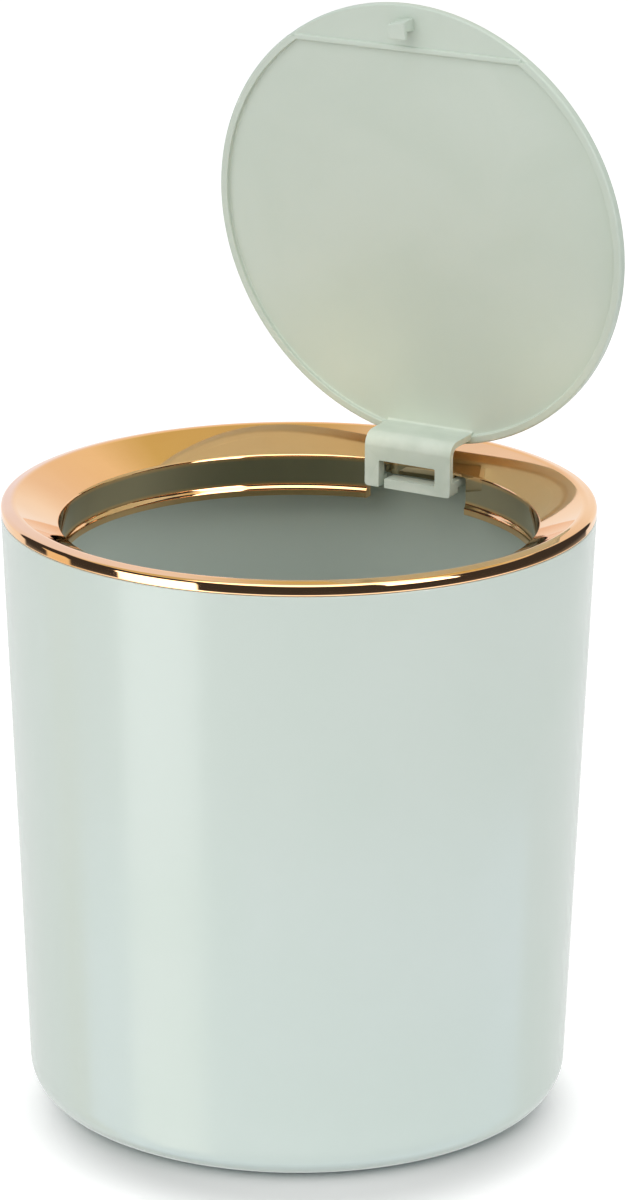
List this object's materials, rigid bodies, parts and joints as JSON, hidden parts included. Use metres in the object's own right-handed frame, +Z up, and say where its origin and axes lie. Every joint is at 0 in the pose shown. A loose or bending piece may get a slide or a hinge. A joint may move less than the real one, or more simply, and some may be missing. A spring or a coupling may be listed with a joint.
{
  "type": "countertop bin",
  "caption": "Small round countertop bin: drafted body, plated lift-off rim ring with a funnel mouth, sprung pop-up lid on a gooseneck hinge, and a push latch.",
  "frame": {"origin": "centre of the underside, on the surface that the bin stands on", "axes": "+Z up, hinge at +Y, latch at -Y, hinge axis along X"},
  "size_m": [0.1388, 0.1388, 0.2546],
  "materials": {
    "body_plastic": "glossy pale mint",
    "plated_ring": "mirror rose gold vacuum plating on plastic",
    "lid_plastic": "satin pale mint",
    "pin_steel": "bright drawn wire",
    "spring_steel": "spring wire",
    "latch_plastic": "natural white moulding",
    "plunger_plastic": "natural white moulding, slick"
  },
  "bodies": {
    "bin": {"bin_body": "body_plastic"},
    "ring": {"rim_ring": "plated_ring", "hinge_pin": "pin_steel", "torsion_spring": "spring_steel", "latch_housing": "latch_plastic", "latch_spring": "spring_steel"},
    "lid": {"lid": "lid_plastic"},
    "plunger": {"latch_plunger": "plunger_plastic"}
  },
  "joints": [
    {"name": "ring_lift", "type": "slide", "parent": "bin", "child": "ring", "axis": [0, 0, 1], "range_m": [0, 0.04]},
    {"name": "lid_hinge", "type": "hinge", "parent": "ring", "child": "lid", "pos_m": [0, 0.0618, 0.13847], "axis": [1, 0, 0], "range_deg": [0, 82.4], "stiffness_Nm_per_rad": 0.008, "springref_deg": -51.57, "deforming": ["torsion_spring"]},
    {"name": "latch_press", "type": "slide", "parent": "ring", "child": "plunger", "axis": [0, 0, -1], "range_m": [0, 0.0025], "stiffness_N_per_m": 120, "springref_m": -0.002, "deforming": ["latch_spring"]}
  ]
}
